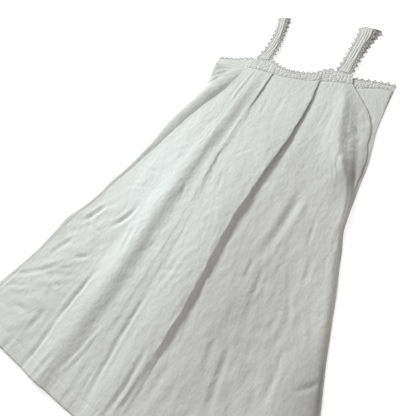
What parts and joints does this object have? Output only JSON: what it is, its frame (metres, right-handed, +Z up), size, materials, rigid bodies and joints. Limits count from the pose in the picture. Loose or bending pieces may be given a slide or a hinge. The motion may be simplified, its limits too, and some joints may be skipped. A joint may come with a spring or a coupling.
{
  "type": "camisole dress",
  "caption": "Off-white camisole dress laid flat, with a pleated A-line front, wide straps and scalloped crochet edging.",
  "frame": {"origin": "middle of the dress's outline, on the surface that it lies on", "axes": "+X across the dress to the right as it lies front up, +Y from the hem towards the straps, +Z up from the surface"},
  "size_m": [0.7991, 1.0891, 0.0222],
  "materials": {
    "linen": "soft plain-woven off-white linen, matt",
    "crochet_band": "off-white cotton crochet insertion, matt",
    "crochet_edging": "off-white cotton picot edging, matt"
  },
  "bodies": {
    "root": {"front_panel": "linen", "back_panel": "linen", "left_strap": "linen", "right_strap": "linen", "front_band": "crochet_band", "back_band": "crochet_band", "left_underarm_band": "crochet_band", "right_underarm_band": "crochet_band", "front_neck_edging": "crochet_edging", "left_underarm_edging": "crochet_edging", "right_underarm_edging": "crochet_edging", "back_neck_edging": "crochet_edging", "left_back_underarm_edging": "crochet_edging", "right_back_underarm_edging": "crochet_edging", "left_strap_inner_edging": "crochet_edging", "left_strap_outer_edging": "crochet_edging", "right_strap_inner_edging": "crochet_edging", "right_strap_outer_edging": "crochet_edging"}
  },
  "joints": []
}
